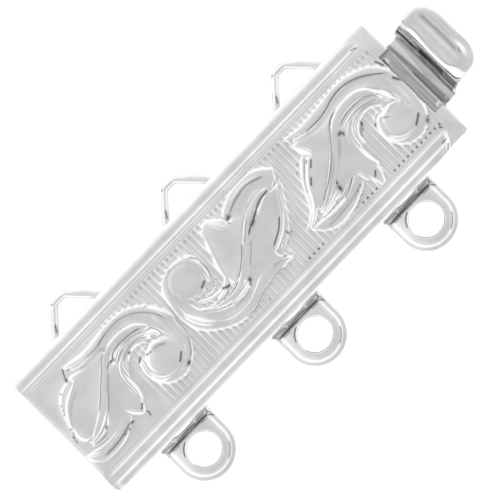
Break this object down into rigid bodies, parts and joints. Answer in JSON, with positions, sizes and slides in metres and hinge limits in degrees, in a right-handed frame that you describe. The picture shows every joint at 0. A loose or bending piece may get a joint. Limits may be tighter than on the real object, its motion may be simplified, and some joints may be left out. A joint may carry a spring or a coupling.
{
  "type": "multi-strand box clasp",
  "caption": "Rectangular box clasp for a multi-strand necklace: scroll-stamped cover with eyelets along one side, and a sliding spring tongue with strip loops and a ribbed thumb pad.",
  "frame": {"origin": "middle of the back face, under the middle of the rectangular box", "axes": "+X along the box towards the thumb pad, +Y from the eyelets towards the loops, +Z out of the relief"},
  "size_m": [0.0338, 0.0149, 0.004],
  "materials": {
    "cover_silver": "bright silver plating over stamped brass, faint polishing marks, darker in the folds",
    "plate_silver": "silver plated rolled sheet, fine lines along its length",
    "eyelet_silver": "tumbled silver plating with rounded edges",
    "loop_silver": "tumbled silver plating on flat strip",
    "spring_silver": "silver plated spring sheet, smooth bends",
    "pad_silver": "bright silver plating with pressed grip grooves"
  },
  "bodies": {
    "box": {"cover": "cover_silver", "back_plate": "plate_silver", "eyelet_1": "eyelet_silver", "eyelet_2": "eyelet_silver", "eyelet_3": "eyelet_silver"},
    "tongue": {"tongue_plate": "plate_silver", "loop_1": "loop_silver", "loop_2": "loop_silver", "loop_3": "loop_silver"},
    "leaf": {"spring_leaf": "spring_silver", "thumb_pad": "pad_silver"}
  },
  "joints": [
    {"name": "tongue_slide", "type": "slide", "parent": "box", "child": "tongue", "axis": [1, 0, 0], "range_m": [0, 0.03]},
    {"name": "leaf_press", "type": "hinge", "parent": "tongue", "child": "leaf", "pos_m": [-0.01409, 0, 0.00085], "axis": [0, 1, 0], "range_deg": [0, 1.2], "stiffness_Nm_per_rad": 2}
  ]
}
